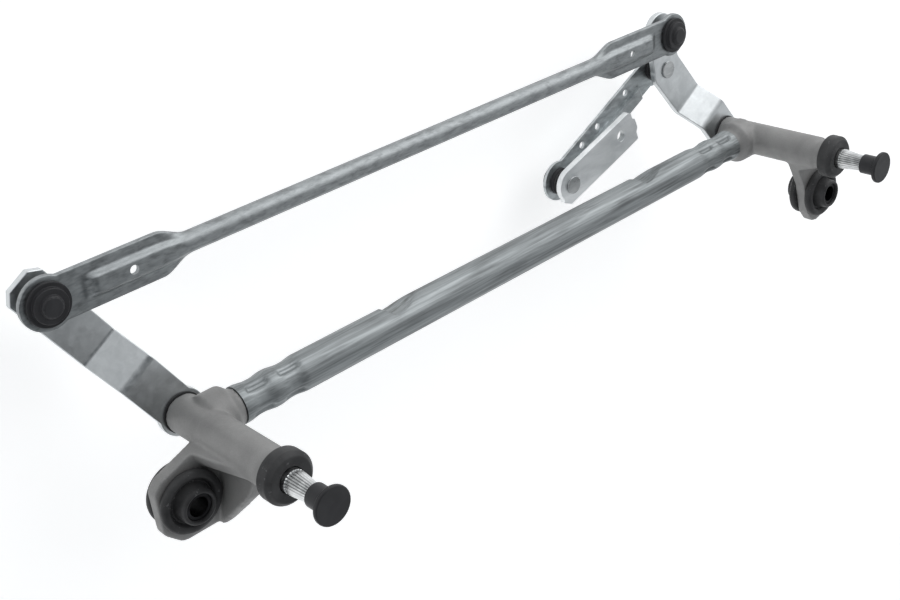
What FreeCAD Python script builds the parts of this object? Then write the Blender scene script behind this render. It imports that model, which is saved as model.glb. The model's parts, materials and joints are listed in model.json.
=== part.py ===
"""Wiper linkage: a crimped tube frame with two bearing housings, two spindles with
joggled crank levers, a long connecting rod, and a drive link with its motor crank.

Units are millimetres. The origin is the centre of the left fixing bore. +Z runs along
the spindles to the wiper arms, +X from the left spindle to the right one.
"""
import FreeCAD, Part
import Sketcher
import math
import os
import re

from FreeCAD import Placement, Rotation, Vector

doc = FreeCAD.newDocument("wiper_linkage")
sizes = doc.addObject("Spreadsheet::Sheet", "Sizes")

SIZE_TABLE = [
    # Layout: where the spindles stand from the left fixing bore
    ("spindle_spacing", 434.0),
    ("left_bore_offset_x", 22.0),
    ("left_bore_offset_y", 25.0),
    ("left_lug_height", 25.5),
    ("right_bore_offset_x", 21.0),
    ("right_bore_offset_y", 37.0),
    ("right_lug_height", 55.0),
    # Clearances
    ("press_gap", 0.02),
    ("tool_margin", 1.0),
    ("running_clearance", 0.03),
    ("thrust_gap", 0.05),
    # Frame tube
    ("tube_diameter", 20.0),
    ("tube_wall", 1.5),
    ("tube_height", 15.7),
    ("tube_end_offset", 20.0),
    ("crimp_waist_depth", 1.2),
    ("crimp_waist_length", 9.0),
    ("crimp_taper", 3.0),
    ("crimp_first", 13.0),
    ("crimp_pitch", 19.0),
    ("dimple_length", 14.0),
    ("dimple_width", 5.0),
    ("dimple_depth", 0.7),
    ("dimple_first", 4.0),
    ("dimple_angle", 30.0),
    ("notch_first", 124.0),
    ("notch_spacing", 204.0),
    ("notch_radius", 14.0),
    ("notch_depth", 3.8),
    ("notch_angle", -10.0),
    # Bearing housings
    ("pipe_diameter", 20.5),
    ("pipe_length", 80.0),
    ("pipe_bore", 15.2),
    ("neck_diameter", 18.6),
    ("neck_length", 8.0),
    ("boss_diameter", 27.0),
    ("boss_root_diameter", 19.6),
    ("boss_flare", 3.0),
    ("boss_length", 14.0),
    ("boss_taper", 4.0),
    ("collar_diameter", 19.2),
    ("spigot_length", 40.0),
    ("lug_thickness", 7.0),
    ("lug_half_width", 16.0),
    ("lug_reach", 21.0),
    ("lug_corner", 9.0),
    ("lug_root", 9.6),
    ("lug_side_x", 4.0),
    ("skirt_reach", 7.0),
    ("left_skirt_rise", 36.0),
    ("right_skirt_rise", 13.5),
    ("web_turn", 258.0),
    ("web_offset", 5.0),
    ("web_width", 8.0),
    ("web_run", 47.0),
    ("web_knee", 24.0),
    ("web_knee_rise", 24.0),
    ("web_rise", 36.0),
    ("web_end_rise", 3.0),
    ("block_reach", 80.0),
    ("lug_round", 6.0),
    # Rubber grommets and their sleeves
    ("grommet_flange_diameter", 33.0),
    ("grommet_flange_thickness", 5.0),
    ("grommet_collar_diameter", 22.6),
    ("grommet_collar_length", 5.5),
    ("grommet_waist_diameter", 20.0),
    ("grommet_edge", 1.2),
    ("sleeve_diameter", 14.0),
    ("sleeve_bore", 10.0),
    ("sleeve_recess", 1.5),
    # Spindles, bushes and seals
    ("shaft_diameter", 12.0),
    ("bush_length", 14.0),
    ("bush_inset", 1.0),
    ("thrust_washer_thickness", 0.8),
    ("thrust_washer_diameter", 21.5),
    ("shim_thickness", 1.0),
    ("shim_diameter", 17.0),
    ("clip_thickness", 1.2),
    ("clip_diameter", 16.0),
    ("clip_groove_diameter", 10.6),
    ("clip_gap", 5.0),
    ("seal_diameter", 26.6),
    ("seal_length", 9.0),
    ("seal_lip", 2.2),
    ("seal_edge", 2.2),
    ("seal_rear_edge", 0.8),
    ("seal_room", 0.4),
    ("seal_roof", 3.3),
    ("cone_start", 2.2),
    ("cone_length", 14.0),
    ("cone_large_diameter", 12.4),
    ("cone_small_diameter", 9.4),
    ("thread_diameter", 8.0),
    ("thread_length", 11.0),
    ("cap_gap", 0.3),
    ("cap_thread_gap", 0.2),
    ("cap_stem_diameter", 12.0),
    ("cap_stem_length", 10.4),
    ("cap_disc_diameter", 19.2),
    ("cap_disc_thickness", 2.5),
    ("cap_edge", 0.5),
    ("shaft_rivet_diameter", 15.0),
    ("shaft_rivet_height", 2.0),
    ("shaft_press_diameter", 11.0),
    # Crank levers
    ("lever_length", 93.0),
    ("lever_angle", 121.3),
    ("lever_thickness", 4.0),
    ("lever_drop", 13.5),
    ("lever_bend_radius", 3.0),
    ("lever_hub_radius", 12.6),
    ("lever_half_width", 11.0),
    ("lever_tip_reach", 12.4),
    ("lever_tip_chamfer", 5.0),
    ("left_ramp_start", 35.0),
    ("left_ramp_end", 52.0),
    ("right_ramp_start", 20.5),
    ("right_ramp_end", 35.5),
    ("drive_pin_along", 68.0),
    ("drive_pin_aside", 8.5),
    ("drive_lobe_radius", 12.8),
    # Ball joints
    ("ball_diameter", 12.0),
    ("ball_neck_diameter", 7.0),
    ("ball_clearance", 0.08),
    ("stud_collar_diameter", 12.0),
    ("stud_collar_height", 1.4),
    ("stud_shank_diameter", 8.0),
    ("stud_rivet_diameter", 11.0),
    ("stud_rivet_height", 1.2),
    ("rod_stud_reach", 8.8),
    ("drive_stud_reach", 8.5),
    ("socket_flange_diameter", 21.4),
    ("socket_flange_height", 2.0),
    ("socket_step_diameter", 16.8),
    ("socket_step_height", 2.2),
    ("socket_top_diameter", 10.8),
    ("socket_top_height", 2.0),
    ("socket_lip_height", 4.6),
    ("socket_mouth_diameter", 8.2),
    ("socket_edge", 1.0),
    ("dust_seal_height", 1.3),
    ("dust_seal_diameter", 15.6),
    ("dust_seal_bore", 10.2),
    # Long connecting rod
    ("paddle_thickness", 3.0),
    ("paddle_drop", 1.0),
    ("rod_diameter", 10.6),
    ("rod_wall", 1.8),
    ("rod_drop", 0.7),
    ("rod_eye_radius", 13.2),
    ("paddle_half_width", 11.3),
    ("paddle_length", 59.0),
    ("paddle_taper", 14.0),
    ("rib_height", 3.0),
    ("rib_half_width", 6.4),
    ("rib_start", 17.0),
    ("rib_ramp", 6.0),
    ("channel_half_width", 4.2),
    ("channel_depth", 3.8),
    ("paddle_hole_along", 42.0),
    ("paddle_hole_diameter", 4.6),
    # Drive link
    ("drive_link_length", 105.3),
    ("drive_link_angle", 206.0),
    ("link_thickness", 2.0),
    ("link_eye_radius", 12.6),
    ("link_half_width", 9.5),
    ("link_rib_height", 2.6),
    ("link_rib_half_width", 4.2),
    ("link_rib_offset", 4.2),
    ("link_rib_end_gap", 18.0),
    ("link_hole_offset", 4.6),
    ("link_hole_first", 30.0),
    ("link_hole_second", 61.0),
    ("link_hole_third", 78.0),
    ("link_hole_diameter", 4.4),
    # Motor crank
    ("motor_crank_length", 49.7),
    ("motor_crank_angle", 19.4),
    ("motor_crank_thickness", 4.0),
    ("motor_shaft_hole", 7.0),
    ("crank_end_half_width", 11.0),
    ("crank_low_side", 12.4),
    ("crank_high_side", 9.6),
    ("crank_tip_reach", 13.5),
    ("crank_tongue_width", 5.0),
    ("crank_corner", 2.0),
    ("crank_heel", 6.0),
    ("crank_round", 1.0),
]

for row, (name, value) in enumerate(SIZE_TABLE, start=1):
    sizes.set("A%d" % row, name)
    sizes.set("B%d" % row, str(value))
    sizes.setAlias("B%d" % row, name)
doc.recompute()
SIZE_NAMES = {name for name, value in SIZE_TABLE}


def size(name):
    """The value of one named size in the sheet."""
    return float(sizes.get(name))


def formula(text):
    """The text with every size name pointing at the sheet."""
    return re.sub(r"[a-z][a-z_]+", lambda found: "Sizes." + found.group(0)
                  if found.group(0) in SIZE_NAMES else found.group(0), text)


def bind(thing, **formulas):
    """Bind properties to sheet formulas. Two underscores in a keyword stand for a dot."""
    for key, text in formulas.items():
        thing.setExpression(key.replace("__", "."), formula(text))
    return thing


def move(thing, x="0", y="0", z="0"):
    """Bind an object's place to sheet formulas."""
    return bind(thing, Placement__Base__x=x, Placement__Base__y=y, Placement__Base__z=z)


def cylinder(radius, height, x="0", y="0", z="0", along="z"):
    """A cylinder that starts at a place and runs along one axis."""
    thing = doc.addObject("Part::Cylinder", "Round")
    turn = {"z": (Vector(0, 0, 1), 0), "x": (Vector(0, 1, 0), 90), "-x": (Vector(0, 1, 0), -90),
            "-z": (Vector(1, 0, 0), 180)}
    axis, angle = turn[along]
    thing.Placement = Placement(Vector(), Rotation(axis, angle))
    return move(bind(thing, Radius=radius, Height=height), x, y, z)


def cone(radius_start, radius_end, height, x="0", y="0", z="0", along="z"):
    """A cone that starts at a place and runs along one axis."""
    thing = doc.addObject("Part::Cone", "Taper")
    turn = {"z": (Vector(0, 0, 1), 0), "x": (Vector(0, 1, 0), 90), "-x": (Vector(0, 1, 0), -90)}
    axis, angle = turn[along]
    thing.Placement = Placement(Vector(), Rotation(axis, angle))
    return move(bind(thing, Radius1=radius_start, Radius2=radius_end, Height=height), x, y, z)


def sphere(radius, x="0", y="0", z="0"):
    """A ball about a place."""
    return move(bind(doc.addObject("Part::Sphere", "Ball"), Radius=radius), x, y, z)


def box(length, width, height, x="0", y="0", z="0"):
    """A box from its lowest corner."""
    thing = doc.addObject("Part::Box", "Block")
    return move(bind(thing, Length=length, Width=width, Height=height), x, y, z)


def fuse(things):
    """One solid from several that meet."""
    joined = doc.addObject("Part::MultiFuse", "Joined")
    joined.Shapes = things
    joined.Refine = True
    return joined


def cut(base, tools):
    """A solid less one or more others."""
    tool = tools[0] if len(tools) == 1 else fuse(tools)
    left = doc.addObject("Part::Cut", "Less")
    left.Base = base
    left.Tool = tool
    left.Refine = True
    return left


def common(base, tool):
    """What two solids share."""
    shared = doc.addObject("Part::Common", "Shared")
    shared.Base = base
    shared.Tool = tool
    shared.Refine = True
    return shared


def new_body(name):
    """An empty body and its three origin planes by role."""
    body = doc.addObject("PartDesign::Body", name)
    planes = {feature.Role: feature for feature in body.Origin.OriginFeatures}
    return body, planes


def outline_sketch(body, plane, points):
    """A closed sketch of straight lines whose corners are bound to sheet formulas."""
    sketch = body.newObject("Sketcher::SketchObject", "Outline")
    sketch.AttachmentSupport = (plane, [""])
    sketch.MapMode = "FlatFace"
    count = len(points)
    spread = 50.0
    corners = [Vector(spread * math.cos(2 * math.pi * turn / count),
                      spread * math.sin(2 * math.pi * turn / count), 0) for turn in range(count)]
    for index in range(count):
        sketch.addGeometry(Part.LineSegment(corners[index], corners[(index + 1) % count]), False)
    for index in range(count):
        sketch.addConstraint(Sketcher.Constraint("Coincident", index, 2, (index + 1) % count, 1))
    for index, (across, upward) in enumerate(points):
        for kind, text, start in (("DistanceX", across, corners[index].x),
                                  ("DistanceY", upward, corners[index].y)):
            place = sketch.addConstraint(Sketcher.Constraint(kind, -1, 1, index, 1, start))
            sketch.setExpression("Constraints[%d]" % place, formula(text))
    return sketch


def pad(points, thickness, z="0", plane="XY_Plane", symmetric=False, name="Plate"):
    """A plate of one outline and thickness, from z upwards, or about its plane."""
    body, planes = new_body(name)
    sketch = outline_sketch(body, planes[plane], points)
    plate = body.newObject("PartDesign::Pad", "Pad")
    plate.Profile = sketch
    plate.Midplane = symmetric
    bind(plate, Length=thickness)
    move(body, z=z)
    doc.recompute()
    return body


def round_corners(body, radius, wanted):
    """Fillet the body's edges for which wanted(edge) is true."""
    doc.recompute()
    base = body.Tip
    names = ["Edge%d" % (index + 1) for index, edge in enumerate(base.Shape.Edges) if wanted(edge)]
    fillet = body.newObject("PartDesign::Fillet", "Rounding")
    fillet.Base = (base, names)
    bind(fillet, Radius=radius)
    doc.recompute()
    return body


def turned(points, name="Turned", axis="V_Axis"):
    """A body turned about an axis of its sketch: by default Z, from radius and height pairs."""
    body, planes = new_body(name)
    sketch = outline_sketch(body, planes["XZ_Plane"], points)
    revolution = body.newObject("PartDesign::Revolution", "Revolution")
    revolution.Profile = sketch
    revolution.ReferenceAxis = (sketch, [axis])
    revolution.Angle = 360.0
    doc.recompute()
    return body


def is_upright(edge):
    """True for a straight edge along Z."""
    ends = edge.Vertexes
    if len(ends) != 2:
        return False
    along = ends[1].Point - ends[0].Point
    return abs(along.z) > 0.99 * along.Length


def edge_at(edge, places, tolerance=0.01):
    """True for an edge along Y whose x and z are those of one of the places."""
    ends = edge.Vertexes
    if len(ends) != 2:
        return False
    along = ends[1].Point - ends[0].Point
    if abs(along.y) < 0.99 * along.Length:
        return False
    return any(abs(ends[0].Point.x - x) < tolerance and abs(ends[0].Point.z - z) < tolerance
               for x, z in places)


NODES = []


def node(name, thing, x="0", y="0", z="0", angle=None):
    """Name a finished piece and put it in its place, turned about Z."""
    thing.Label = name
    move(thing, x, y, z)
    if angle:
        bind(thing, Placement__Rotation__Angle=angle)
    NODES.append(thing)
    return thing


QUARTER_TURNS = (0, 90, 180, 270)

# Places that several pieces share, measured from the rear end of each bearing pipe
SIDES = {
    "left": {"x": "left_bore_offset_x", "bore_x": "left_bore_offset_x", "bore_y": "left_bore_offset_y",
             "lug": "left_lug_height", "toward": 1},
    "right": {"x": "left_bore_offset_x + spindle_spacing", "bore_x": "right_bore_offset_x",
              "bore_y": "right_bore_offset_y", "lug": "right_lug_height", "toward": -1},
}
PIPE_Y = "left_bore_offset_y"
PIPE_Z = "-left_lug_height"
SPIGOT_RADIUS = "(tube_diameter / 2 - crimp_waist_depth - tube_wall - press_gap)"
SEAL_START = "(pipe_length - seal_lip)"
SEAL_END = "(pipe_length - seal_lip + seal_length)"
CONE_START = "(pipe_length - seal_lip + seal_length + cone_start)"
CONE_END = "(pipe_length - seal_lip + seal_length + cone_start + cone_length)"
CAP_START = "(pipe_length - seal_lip + seal_length + cone_start + cone_length + cap_gap)"
HUB_FRONT = "(-thrust_gap - thrust_washer_thickness)"
LEVER_FRONT = "(-thrust_gap - thrust_washer_thickness - lever_drop)"
BALL_HEIGHT = "(-thrust_gap - thrust_washer_thickness - lever_drop + rod_stud_reach)"
DRIVE_BALL = ("(-thrust_gap - thrust_washer_thickness - lever_drop - lever_thickness"
              " - drive_stud_reach)")


def build_tube():
    """The frame tube: crimped waists and dimples at its ends, two pressed notches along it."""
    length = "(spindle_spacing - 2 * tube_end_offset)"
    waists = []
    for start in ("crimp_first", "(crimp_first + crimp_pitch)"):
        waists.append((start, start + " + crimp_taper", start + " + crimp_taper + crimp_waist_length",
                       start + " + 2 * crimp_taper + crimp_waist_length"))
    path = [("0", "0")]
    for points in waists:
        for place, depth in zip(points, ("0", "crimp_waist_depth", "crimp_waist_depth", "0")):
            path.append((place, depth))
    for points in reversed(waists):
        for place, depth in zip(reversed(points), ("0", "crimp_waist_depth", "crimp_waist_depth", "0")):
            path.append((length + " - (" + place + ")", depth))
    path.append((length, "0"))
    parts = []
    for wall, name in (("0", "TubeOuter"), ("tube_wall", "TubeInner")):
        solid = turned([("0", "0")] + [(x, "tube_diameter / 2 - %s - %s" % (depth, wall))
                                       for x, depth in path] + [(length, "0")], name, "H_Axis")
        notches = []
        for place in ("notch_first", "(notch_first + notch_spacing)"):
            radius = "(notch_radius + %s)" % wall
            reach = "(tube_diameter / 2 - notch_depth + notch_radius)"
            notch = cylinder(radius, "2 * tube_diameter", along="-z")
            notch.Placement = Placement(Vector(), Rotation(Vector(1, 0, 0), 90))
            move(notch, place + " - tube_end_offset", "tube_diameter", reach)
            notches.append(notch)
        turned_notches = fuse(notches)
        turned_notches.Placement = Placement(Vector(), Rotation(Vector(1, 0, 0), 0))
        bind(turned_notches, Placement__Rotation__Angle="notch_angle - 90")
        parts.append(cut(solid, [turned_notches]))
    dimples = []
    tool_radius = "((dimple_width ^ 2 / 4 + dimple_depth ^ 2) / (2 * dimple_depth))"
    for turn in QUARTER_TURNS:
        aim = "(dimple_angle + %d)" % turn
        for place in ("dimple_first", "(dimple_first + crimp_pitch)"):
            for start in (place, "%s - %s - dimple_length" % (length, place)):
                away = "(tube_diameter / 2 - dimple_depth + %s)" % tool_radius
                dimples.append(cylinder(tool_radius, "dimple_length", start,
                                        "%s * cos(%s)" % (away, aim), "%s * sin(%s)" % (away, aim), "x"))
    tube = cut(parts[0], [parts[1]] + dimples)
    node("frame_tube", tube, "left_bore_offset_x + tube_end_offset", PIPE_Y, PIPE_Z + " + tube_height")


def build_housing(side):
    """A die-cast bearing housing: pipe, tube boss with its spigot, and the fixing lug."""
    at = SIDES[side]
    along = "x" if at["toward"] == 1 else "-x"
    sign = "" if at["toward"] == 1 else "-"
    pipe = cylinder("pipe_diameter / 2", "pipe_length - neck_length")
    root = cone("boss_root_diameter / 2", "boss_diameter / 2", "boss_flare", z="tube_height", along=along)
    boss = cylinder("boss_diameter / 2", "boss_length - boss_flare", sign + "boss_flare",
                    z="tube_height", along=along)
    taper = cone("boss_diameter / 2", "collar_diameter / 2", "boss_taper",
                 sign + "boss_length", z="tube_height", along=along)
    collar = cylinder("collar_diameter / 2", "tube_end_offset", z="tube_height", along=along)
    spigot = cylinder(SPIGOT_RADIUS, "tube_end_offset + spigot_length", z="tube_height", along=along)
    if side == "left":
        eye_x, eye_y = "(-left_bore_offset_x)", "(-left_bore_offset_y)"
        outline = [("-lug_root", "0"),
                   (eye_x + " - lug_half_width + lug_corner / 2", eye_y + " + lug_half_width"),
                   (eye_x + " - lug_half_width", eye_y + " + lug_half_width - lug_corner / 2"),
                   (eye_x + " - lug_half_width", eye_y + " - lug_reach + lug_corner"),
                   (eye_x + " - lug_half_width + lug_corner", eye_y + " - lug_reach"),
                   ("-lug_side_x", eye_y + " - lug_reach"), ("lug_root", "0"), ("0", "lug_root / 2")]
    else:
        eye_x, eye_y = "right_bore_offset_x", "(-right_bore_offset_y)"
        outline = [("-lug_root", "0"),
                   (eye_x + " - lug_half_width", eye_y + " + lug_corner"),
                   (eye_x + " - lug_half_width + lug_corner / 2",
                    eye_y + " - lug_half_width + lug_corner / 2"),
                   (eye_x + " - lug_corner / 2", eye_y + " - lug_reach"),
                   (eye_x + " + lug_corner / 2", eye_y + " - lug_reach"),
                   (eye_x + " + lug_half_width", eye_y + " - lug_corner / 2"),
                   (eye_x + " + lug_half_width", eye_y + " + lug_corner"),
                   ("lug_root", "0"), ("0", "lug_root / 2")]
    plan = pad(outline, "2 * block_reach", symmetric=True, z=at["lug"], name=side + "_lug_plan")
    round_corners(plan, "lug_round", lambda edge: is_upright(edge) and abs(edge.CenterOfMass.y) >
                  size("lug_root") / 2)
    rear, front = at["lug"] + " - lug_thickness / 2", at["lug"] + " + lug_thickness / 2"
    slab = box("2 * block_reach", "2 * block_reach", "lug_thickness", "-block_reach", "-block_reach", rear)
    skirt = cone("pipe_diameter / 2 + skirt_reach", "boss_root_diameter / 2",
                 "lug_thickness + %s_skirt_rise" % side, z=rear)
    solids = [pipe, root, boss, taper, collar, spigot, common(slab, plan), common(skirt, plan)]
    if side == "left":
        web = pad([("0", "0"), ("web_run", "0"), ("web_run", "lug_thickness / 2 + web_end_rise"),
                   ("web_knee", "lug_thickness / 2 + web_knee_rise"), ("0", "lug_thickness / 2 + web_rise")],
                  "web_width", plane="XZ_Plane", symmetric=True, name="left_web")
        move(web, "-web_offset * sin(web_turn)", "web_offset * cos(web_turn)", at["lug"])
        bind(web, Placement__Rotation__Angle="web_turn")
        solids.append(common(web, plan))
    # The front end is cleared for the seal before the neck goes on, whatever the lug's height
    cast = cut(fuse(solids),
               [cylinder("seal_diameter / 2 + press_gap", "pipe_length", z="pipe_length - neck_length")])
    neck = cylinder("neck_diameter / 2", "pipe_length - tool_margin", z="tool_margin")
    bore = cylinder("pipe_bore / 2", "pipe_length + 2 * tool_margin", z="-tool_margin")
    seat = cylinder("grommet_waist_diameter / 2", "pipe_length", eye_x, eye_y,
                    at["lug"] + " - pipe_length / 2")
    face = cylinder("grommet_flange_diameter / 2 + press_gap", "pipe_length", eye_x, eye_y, front)
    back = cylinder("grommet_flange_diameter / 2 + press_gap", "pipe_length", eye_x, eye_y, rear,
                    along="-z")
    node(side + "_bearing_housing", cut(fuse([cast, neck]), [bore, seat, face, back]), at["x"], PIPE_Y, PIPE_Z)
    for place, start in (("lower", "bush_inset"), ("upper", "pipe_length - bush_inset - bush_length")):
        sleeve = cylinder("pipe_bore / 2 - press_gap", "bush_length", z=start)
        hole = cylinder("shaft_diameter / 2 + running_clearance", "pipe_length + 2 * tool_margin",
                        z="-tool_margin")
        node("%s_%s_bearing_bush" % (side, place), cut(sleeve, [hole]), at["x"], PIPE_Y, PIPE_Z)


def build_mount(side):
    """The rubber grommet clipped in a lug and the steel sleeve through its middle."""
    at = SIDES[side]
    centre_x = "0" if side == "left" else "left_bore_offset_x + spindle_spacing + right_bore_offset_x"
    centre_y = "0" if side == "left" else "left_bore_offset_y - right_bore_offset_y"
    centre_z = at["lug"] + " - left_lug_height"
    half = "lug_thickness / 2"
    flange = "(lug_thickness / 2 + grommet_flange_thickness)"
    end = "(lug_thickness / 2 + grommet_flange_thickness + grommet_collar_length)"
    profile = [("sleeve_diameter / 2", "-" + end), ("grommet_collar_diameter / 2 - grommet_edge", "-" + end),
               ("grommet_collar_diameter / 2", "-%s + grommet_edge" % end),
               ("grommet_collar_diameter / 2", "-" + flange),
               ("grommet_flange_diameter / 2 - grommet_edge", "-" + flange),
               ("grommet_flange_diameter / 2", "-%s + grommet_edge" % flange),
               ("grommet_flange_diameter / 2", "-%s - press_gap" % half),
               ("grommet_waist_diameter / 2 - press_gap", "-%s - press_gap" % half)]
    mirrored = [(radius, "-(%s)" % height) for radius, height in reversed(profile)]
    node(side + "_mount_grommet", turned(profile + mirrored, side + "_grommet"), centre_x, centre_y, centre_z)
    length = "(lug_thickness + 2 * grommet_flange_thickness + 2 * grommet_collar_length - 2 * sleeve_recess)"
    sleeve = cylinder("sleeve_diameter / 2 - press_gap", length, z="-%s / 2" % length)
    bore = cylinder("sleeve_bore / 2", length + " + 2 * tool_margin", z="-%s / 2 - tool_margin" % length)
    node(side + "_mount_sleeve", cut(sleeve, [bore]), centre_x, centre_y, centre_z)


def build_spindle(side):
    """The spindle shaft with its washer, shim, clip, seal collar and transit cap."""
    at = SIDES[side]
    place = (at["x"], PIPE_Y, PIPE_Z)
    rear = HUB_FRONT + " - lever_thickness"
    solids = [cylinder("shaft_press_diameter / 2", "lever_thickness + thrust_washer_thickness + thrust_gap",
                       z=rear),
              cylinder("shaft_rivet_diameter / 2", "shaft_rivet_height", z=rear + " - shaft_rivet_height"),
              cylinder("shaft_diameter / 2", CONE_START + " - " + HUB_FRONT, z=HUB_FRONT),
              cone("cone_large_diameter / 2", "cone_small_diameter / 2", "cone_length", z=CONE_START),
              cylinder("thread_diameter / 2", "thread_length", z=CONE_END)]
    clip_z = "(pipe_length + thrust_gap + shim_thickness)"
    groove = cut(cylinder("shaft_diameter", "clip_thickness", z=clip_z),
                 [cylinder("clip_groove_diameter / 2", "clip_thickness + 2 * tool_margin",
                           z=clip_z + " - tool_margin")])
    node(side + "_spindle_shaft", cut(fuse(solids), [groove]), *place)
    washer = cut(cylinder("thrust_washer_diameter / 2", "thrust_washer_thickness", z=HUB_FRONT),
                 [cylinder("shaft_diameter / 2 + press_gap", "thrust_washer_thickness + 2 * tool_margin",
                           z=HUB_FRONT + " - tool_margin")])
    node(side + "_thrust_washer", washer, *place)
    shim = cut(cylinder("shim_diameter / 2", "shim_thickness - press_gap", z="pipe_length + thrust_gap"),
               [cylinder("shaft_diameter / 2 + press_gap", "shim_thickness + 2 * tool_margin",
                         z="pipe_length - tool_margin")])
    node(side + "_shim_washer", shim, *place)
    clip = cut(cylinder("clip_diameter / 2", "clip_thickness - press_gap", z=clip_z),
               [cylinder("clip_groove_diameter / 2 + press_gap", "clip_thickness + 2 * tool_margin",
                         z=clip_z + " - tool_margin"),
                box("clip_diameter", "clip_gap", "clip_thickness + 2 * tool_margin", "0", "-clip_gap / 2",
                    clip_z + " - tool_margin")])
    node(side + "_retaining_clip", clip, *place)
    profile = [("neck_diameter / 2 + press_gap", SEAL_START),
               ("seal_diameter / 2 - seal_rear_edge", SEAL_START),
               ("seal_diameter / 2", SEAL_START + " + seal_rear_edge"),
               ("seal_diameter / 2", SEAL_END + " - seal_edge"),
               ("seal_diameter / 2 - seal_edge", SEAL_END),
               ("shaft_diameter / 2 + seal_room", SEAL_END),
               ("shaft_diameter / 2 + seal_room", SEAL_END + " - seal_roof"),
               ("neck_diameter / 2 + press_gap", SEAL_END + " - seal_roof")]
    node(side + "_spindle_seal", turned(profile, side + "_seal"), *place)
    disc = CAP_START + " + cap_stem_length"
    top = CAP_START + " + cap_stem_length + cap_disc_thickness"
    cap = [("thread_diameter / 2 + cap_thread_gap", CAP_START), ("cap_stem_diameter / 2", CAP_START),
           ("cap_stem_diameter / 2", disc), ("cap_disc_diameter / 2 - cap_edge", disc),
           ("cap_disc_diameter / 2", disc + " + cap_edge"), ("cap_disc_diameter / 2", top + " - cap_edge"),
           ("cap_disc_diameter / 2 - cap_edge", top), ("0", top),
           ("0", CONE_END + " + thread_length + cap_thread_gap"),
           ("thread_diameter / 2 + cap_thread_gap", CONE_END + " + thread_length + cap_thread_gap")]
    node(side + "_transit_cap", turned(cap, side + "_cap"), *place)


def build_lever(side):
    """A joggled crank lever cut from its plan outline and its bent side profile."""
    at = SIDES[side]
    start, end = side + "_ramp_start", side + "_ramp_end"
    tall = "(lever_drop + lever_thickness + 2 * tool_margin)"
    base = "-lever_drop - lever_thickness - tool_margin"
    run = "(%s - %s)" % (end, start)
    skew = "(lever_thickness * (hypot(lever_drop; %s) - %s) / lever_drop)" % (run, run)
    tip = "(lever_length + lever_tip_reach + tool_margin)"
    strip = pad([("-lever_hub_radius - tool_margin", "0"), (start, "0"), (end, "-lever_drop"),
                 (tip, "-lever_drop"),
                 (tip, "-lever_drop - lever_thickness"),
                 (end + " - " + skew, "-lever_drop - lever_thickness"),
                 (start + " - " + skew, "-lever_thickness"),
                 ("-lever_hub_radius - tool_margin", "-lever_thickness")],
                "4 * lever_hub_radius", plane="XZ_Plane", symmetric=True, name=side + "_strip")
    first, last = size(start), size(end)
    drop, thick = size("lever_drop"), size("lever_thickness")
    shift = thick * (math.hypot(drop, last - first) - (last - first)) / drop
    round_corners(strip, "lever_bend_radius + lever_thickness",
                  lambda edge: edge_at(edge, [(first, 0), (last - shift, -drop - thick)]))
    round_corners(strip, "lever_bend_radius",
                  lambda edge: edge_at(edge, [(last, -drop), (first - shift, -thick)]))
    if side == "left":
        tip_x, chamfer = "(lever_length + lever_tip_reach)", "lever_tip_chamfer"
        outline = pad([("0", "-lever_half_width"), (tip_x + " - " + chamfer, "-lever_half_width"),
                       (tip_x, "-lever_half_width + " + chamfer), (tip_x, "lever_half_width - " + chamfer),
                       (tip_x + " - " + chamfer, "lever_half_width"), ("0", "lever_half_width")],
                      tall, z=base, name=side + "_plan")
        plan = fuse([cylinder("lever_hub_radius", tall, z=base), outline])
    else:
        outline = pad([("0", "-lever_hub_radius"), ("drive_pin_along", "drive_pin_aside - drive_lobe_radius"),
                       ("lever_length", "-lever_tip_reach"), ("lever_length", "lever_tip_reach"),
                       ("drive_pin_along", "drive_pin_aside + drive_lobe_radius"), ("0", "lever_hub_radius")],
                      tall, z=base, name=side + "_plan")
        plan = fuse([cylinder("lever_hub_radius", tall, z=base), outline,
                     cylinder("lever_tip_reach", tall, "lever_length", z=base),
                     cylinder("drive_lobe_radius", tall, "drive_pin_along", "drive_pin_aside", base)])
    holes = [cylinder("shaft_press_diameter / 2 + press_gap", "lever_thickness + 2 * tool_margin",
                      z="-lever_thickness - tool_margin"),
             cylinder("stud_shank_diameter / 2 + press_gap", tall, "lever_length", z=base)]
    if side == "right":
        holes.append(cylinder("stud_shank_diameter / 2 + press_gap", tall, "drive_pin_along",
                              "drive_pin_aside", base))
    node(side + "_crank_lever", cut(common(strip, plan), holes), at["x"], PIPE_Y,
         PIPE_Z + " + " + HUB_FRONT, "lever_angle")


def ball_stud(name, reach, facing, x, y, z, plate):
    """A riveted ball stud. The ball stands off the plate face at z, to the facing side."""
    sign = "" if facing == "z" else "-"
    back = "-" if facing == "z" else ""
    solids = [sphere("ball_diameter / 2", z=sign + reach),
              cylinder("ball_neck_diameter / 2", reach, along=facing),
              cylinder("stud_collar_diameter / 2", "stud_collar_height", along=facing),
              cylinder("stud_shank_diameter / 2", plate, along="-z" if facing == "z" else "z"),
              cylinder("stud_rivet_diameter / 2", "stud_rivet_height", z="%s%s" % (back, plate),
                       along="-z" if facing == "z" else "z")]
    return node(name, fuse(solids), x, y, z)


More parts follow.
